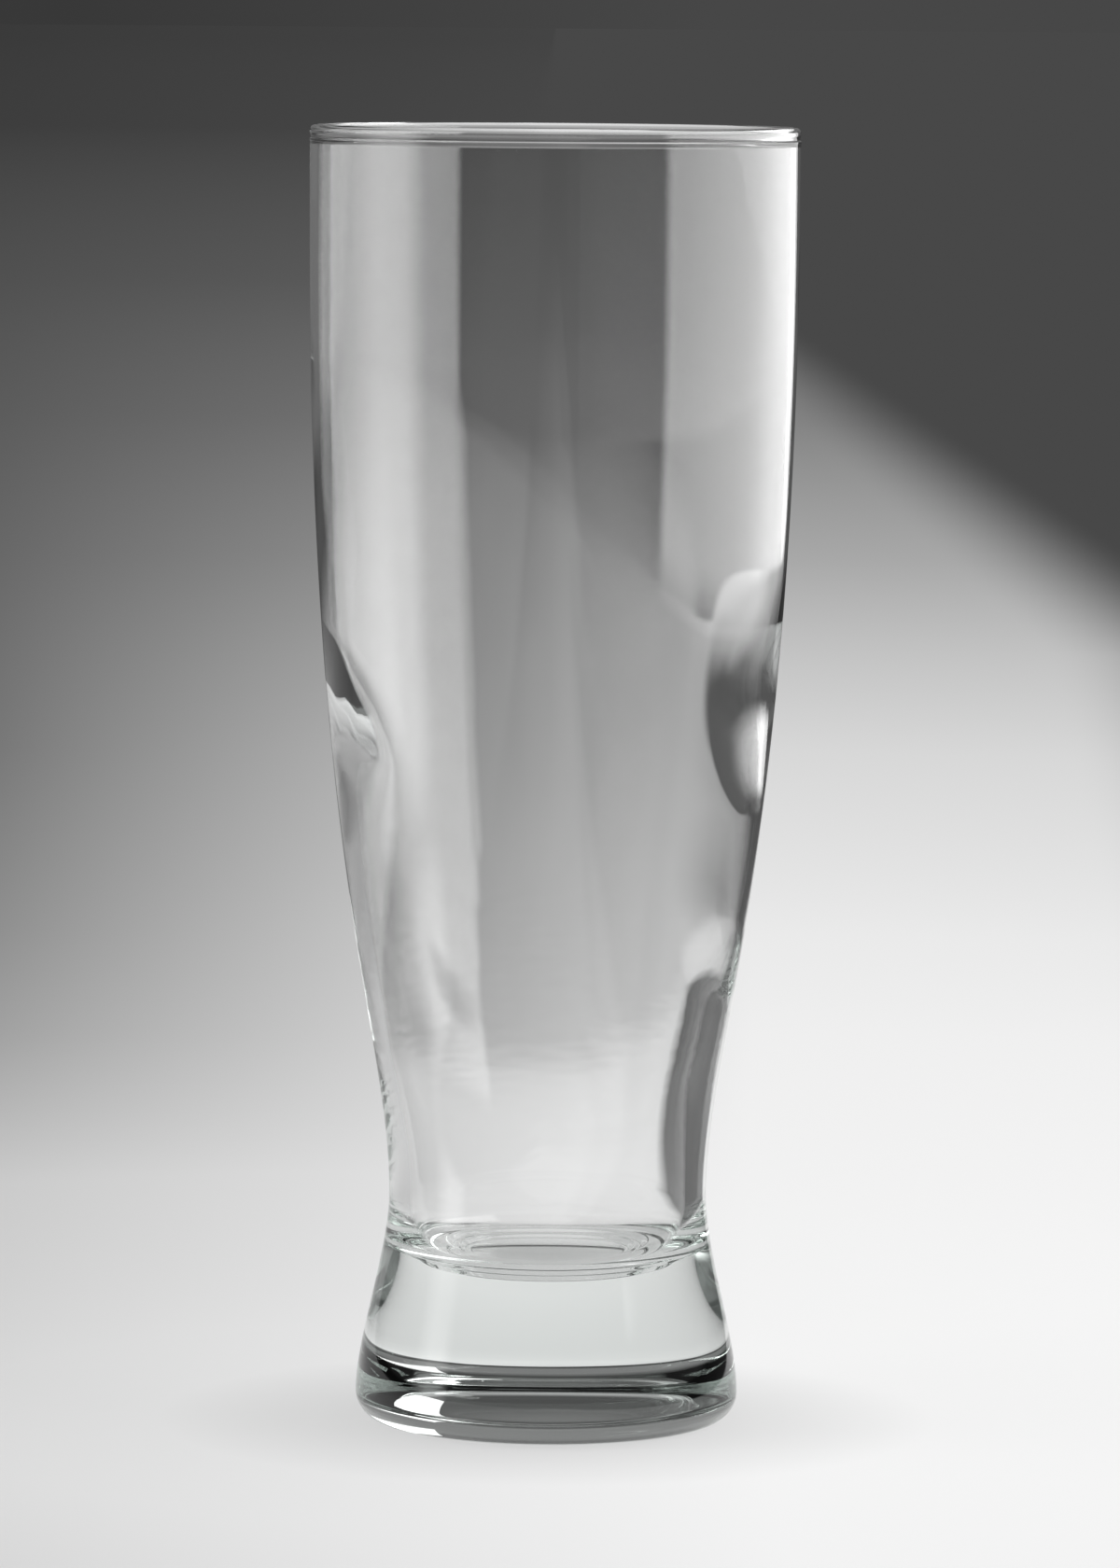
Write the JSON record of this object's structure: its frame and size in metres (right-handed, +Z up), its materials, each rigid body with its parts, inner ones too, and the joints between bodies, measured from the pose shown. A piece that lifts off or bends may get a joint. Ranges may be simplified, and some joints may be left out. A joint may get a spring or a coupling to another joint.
{
  "type": "pilsner glass",
  "caption": "Tall footed drinking glass with a rounded bead at the lip, a bowl that tapers to a narrow waist and a thick flared foot. It holds a cold drink and stands on a table.",
  "frame": {"origin": "on the axis of the glass, on the surface that the foot rests on", "axes": "+Z up along the axis of the glass, from the foot to the mouth; X and Y are equal round the axis"},
  "size_m": [0.0776, 0.0776, 0.206],
  "materials": {
    "clear_glass": "clear and fire-polished, with a faint green tint in the thick glass of the foot"
  },
  "bodies": {
    "root": {"rim_bead": "clear_glass", "bowl": "clear_glass", "foot": "clear_glass"}
  },
  "joints": []
}
